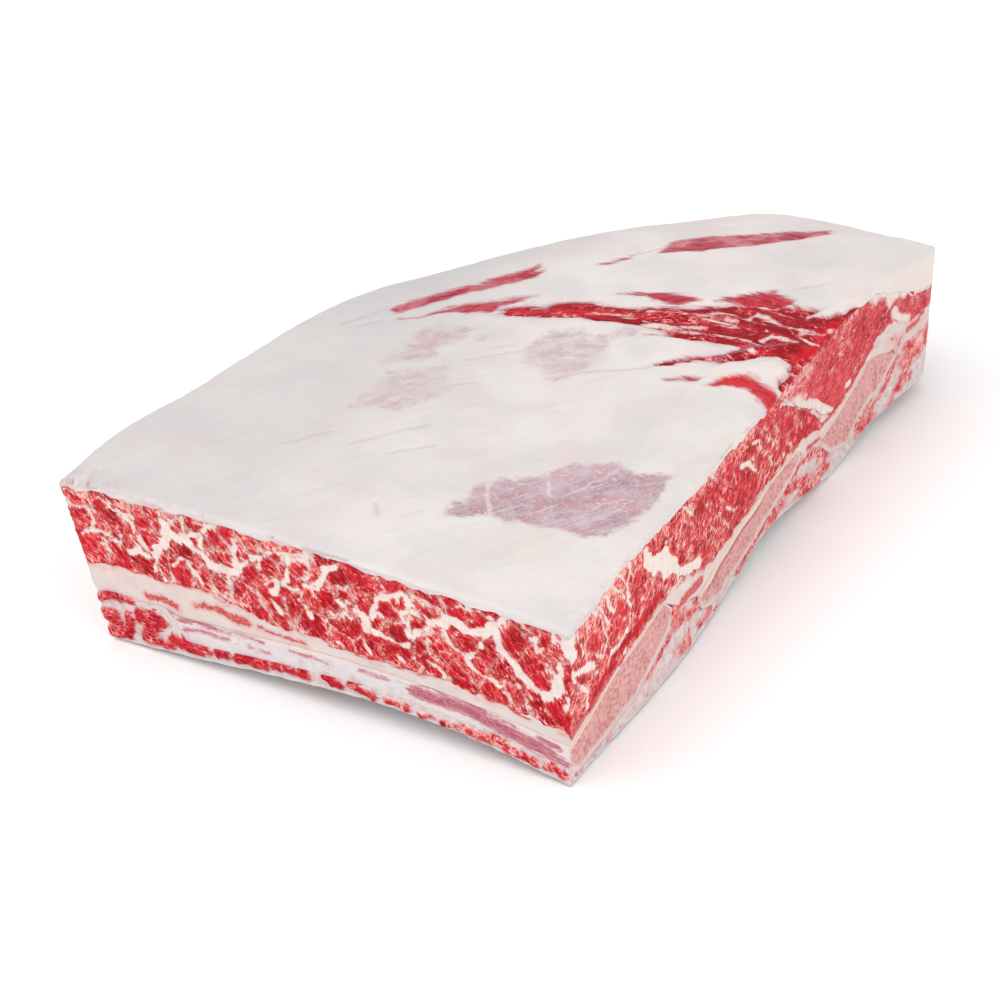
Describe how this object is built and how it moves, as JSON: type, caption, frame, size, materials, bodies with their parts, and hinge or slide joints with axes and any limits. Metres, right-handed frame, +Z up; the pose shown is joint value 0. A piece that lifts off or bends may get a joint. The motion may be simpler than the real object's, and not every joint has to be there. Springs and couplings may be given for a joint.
{
  "type": "raw beef plate ribs",
  "caption": "Raw slab of beef plate ribs: white fat cap over marbled muscle, on a layer of sawn rib bones and rib meat.",
  "frame": {"origin": "centre of the slab's plan outline, on the surface it rests on", "axes": "+X along the ribs towards the sawn ends that the picture shows, +Y across the ribs away from the front cut face, +Z up from the bone side to the fat cap"},
  "size_m": [0.1748, 0.28, 0.0604],
  "materials": {
    "fat_cap": "moist white fat",
    "muscle": "moist marbled red meat",
    "deckle": "moist dark red meat",
    "seam_fat": "cream seam fat",
    "bone": "sawn rib bone with pink marrow",
    "rib_meat": "moist red meat between ribs",
    "membrane": "thin pearly lining"
  },
  "bodies": {
    "root": {"fat_cap": "fat_cap", "short_rib_muscle": "muscle", "deckle_muscle": "deckle", "divider_fat": "seam_fat", "rib_seam_fat": "seam_fat", "rib_bone_1": "bone", "rib_bone_2": "bone", "rib_bone_3": "bone", "intercostal_meat_1": "rib_meat", "intercostal_meat_2": "rib_meat", "intercostal_meat_3": "rib_meat", "intercostal_meat_4": "rib_meat", "rib_membrane": "membrane"}
  },
  "joints": []
}
